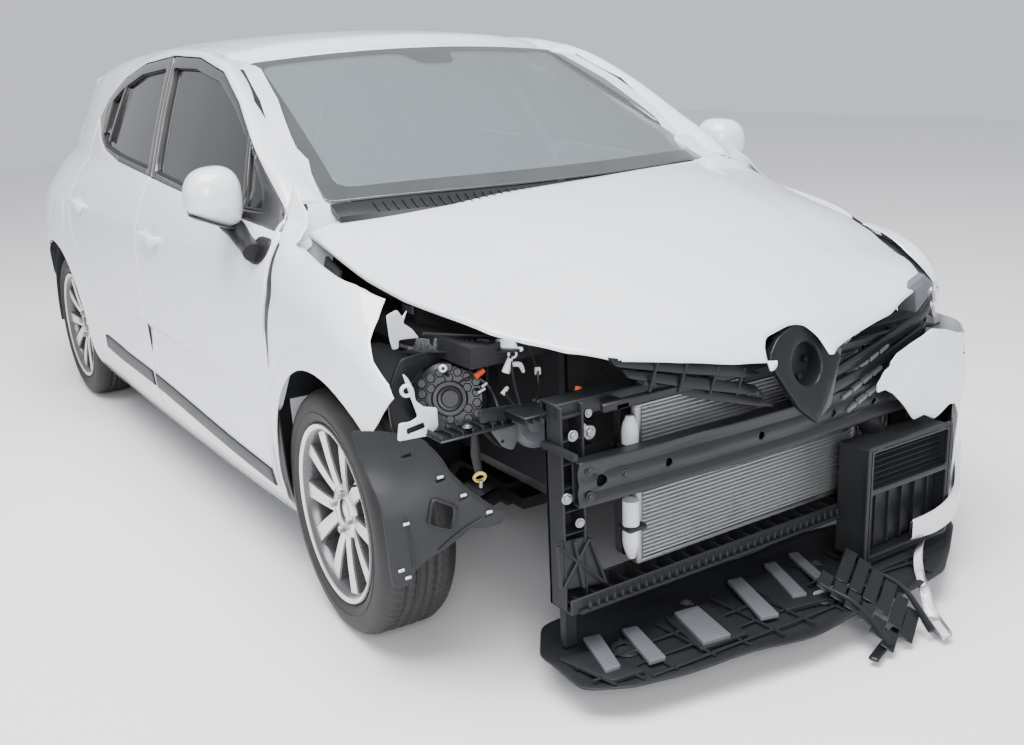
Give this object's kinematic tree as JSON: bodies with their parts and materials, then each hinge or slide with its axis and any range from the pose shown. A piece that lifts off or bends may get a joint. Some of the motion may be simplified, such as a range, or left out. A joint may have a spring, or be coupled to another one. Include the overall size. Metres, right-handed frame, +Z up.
{
  "type": "crashed five-door hatchback car",
  "caption": "White five-door hatchback standing on its wheels after a front-end crash, with its front bumper and a headlamp torn off and its doors, lids, wheels and steering working",
  "frame": {"origin": "on the ground under the middle of the whole length, on the car's centre plane", "axes": "+X forward, +Y to the car's left, +Z up"},
  "size_m": [4.1672, 1.91, 1.41],
  "materials": {
    "paint": "white with a faint blue cast, lightly scratched and dented",
    "black_plastic": "black moulded plastic, dusty and scuffed",
    "structure": "black primed sheet steel, scraped on the crash beam",
    "glass": "clear safety glass with a slight green edge",
    "tyre": "black tyre rubber, dusty",
    "alloy": "machined silver faces with dark grey pockets",
    "steel": "dull cast and pressed steel",
    "cloth": "dark grey woven seat cloth",
    "lens": "clear lamp lens over a grey reflector",
    "red_lens": "dark red lamp lens",
    "core": "fine aluminium fins"
  },
  "bodies": {
    "body": {"body_side_right": "paint", "body_side_left": "paint", "fender_right": "paint", "fender_left": "paint", "tail_lamp_right": "red_lens", "tail_lamp_left": "red_lens", "seat_front_right": "cloth", "seat_front_left": "cloth", "roof": "paint", "windscreen": "glass", "bumper_rear": "paint", "floor_pan": "structure", "engine_bay": "structure", "subframe_front": "steel", "axle_rear": "steel", "engine": "steel", "radiator": "core", "front_carrier": "black_plastic", "crash_beam": "structure", "grille_remains": "black_plastic", "bumper_remnant_left": "paint", "air_duct": "black_plastic", "undertray": "black_plastic", "arch_liner_right": "black_plastic", "headlamp_left": "lens", "seat_rear": "cloth", "dashboard": "black_plastic", "exhaust": "steel"},
    "door_front_right": {"door_front_right": "paint", "door_front_glass_right": "glass", "mirror_right": "black_plastic"},
    "door_rear_right": {"door_rear_right": "paint", "door_rear_glass_right": "glass"},
    "steer_right": {"knuckle_right": "steel"},
    "wheel_front_right": {"rim_front_right": "alloy", "tyre_front_right": "tyre"},
    "wheel_rear_right": {"rim_rear_right": "alloy", "tyre_rear_right": "tyre"},
    "door_front_left": {"door_front_left": "paint", "door_front_glass_left": "glass", "mirror_left": "black_plastic"},
    "door_rear_left": {"door_rear_left": "paint", "door_rear_glass_left": "glass"},
    "steer_left": {"knuckle_left": "steel"},
    "wheel_front_left": {"rim_front_left": "alloy", "tyre_front_left": "tyre"},
    "wheel_rear_left": {"rim_rear_left": "alloy", "tyre_rear_left": "tyre"},
    "bonnet": {"bonnet": "paint"},
    "tailgate": {"tailgate": "paint", "tailgate_glass": "glass"},
    "steering_wheel": {"steering_wheel": "black_plastic"}
  },
  "joints": [
    {"name": "door_front_right_hinge", "type": "hinge", "parent": "body", "child": "door_front_right", "pos_m": [0.738, -0.845, 0.55], "axis": [0, 0, 1], "range_deg": [0, 66]},
    {"name": "door_rear_right_hinge", "type": "hinge", "parent": "body", "child": "door_rear_right", "pos_m": [-0.26, -0.865, 0.55], "axis": [0, 0, 1], "range_deg": [0, 66]},
    {"name": "steer_right_turn", "type": "hinge", "parent": "body", "child": "steer_right", "pos_m": [1.122, -0.672, 0.178], "axis": [0, 0.1833, 0.9831], "range_deg": [-32, 38]},
    {"name": "wheel_front_right_spin", "type": "hinge", "parent": "steer_right", "child": "wheel_front_right", "pos_m": [1.11658, -0.75386, 0.30297], "axis": [0.0514, 0.9987, 0.0002], "continuous": true},
    {"name": "wheel_rear_right_spin", "type": "hinge", "parent": "body", "child": "wheel_rear_right", "pos_m": [-1.453, -0.747, 0.303], "axis": [0, 1, 0], "continuous": true},
    {"name": "door_front_left_hinge", "type": "hinge", "parent": "body", "child": "door_front_left", "pos_m": [0.738, 0.845, 0.55], "axis": [0, 0, -1], "range_deg": [0, 66]},
    {"name": "door_rear_left_hinge", "type": "hinge", "parent": "body", "child": "door_rear_left", "pos_m": [-0.26, 0.865, 0.55], "axis": [0, 0, -1], "range_deg": [0, 66]},
    {"name": "steer_left_turn", "type": "hinge", "parent": "body", "child": "steer_left", "pos_m": [1.122, 0.672, 0.178], "axis": [0, -0.1833, 0.9831], "range_deg": [-32, 38]},
    {"name": "wheel_front_left_spin", "type": "hinge", "parent": "steer_left", "child": "wheel_front_left", "pos_m": [1.12742, 0.75386, 0.30297], "axis": [0.0514, 0.9987, -0.0002], "continuous": true},
    {"name": "wheel_rear_left_spin", "type": "hinge", "parent": "body", "child": "wheel_rear_left", "pos_m": [-1.453, 0.747, 0.303], "axis": [0, 1, 0], "continuous": true},
    {"name": "bonnet_hinge", "type": "hinge", "parent": "body", "child": "bonnet", "pos_m": [0.792, 0, 1.003], "axis": [0, -1, 0], "range_deg": [0, 55]},
    {"name": "tailgate_hinge", "type": "hinge", "parent": "body", "child": "tailgate", "pos_m": [-1.732, 0, 1.338], "axis": [0, 1, 0], "range_deg": [0, 78]},
    {"name": "steering_wheel_turn", "type": "hinge", "parent": "body", "child": "steering_wheel", "pos_m": [0.318, -0.37, 0.856], "axis": [-0.8943, 0, 0.4475], "range_deg": [-448, 532]}
  ],
  "couplings": [
    {"joint": "steer_left_turn", "follows": "steer_right_turn", "ratio": 1},
    {"joint": "steering_wheel_turn", "follows": "steer_right_turn", "ratio": 14}
  ]
}
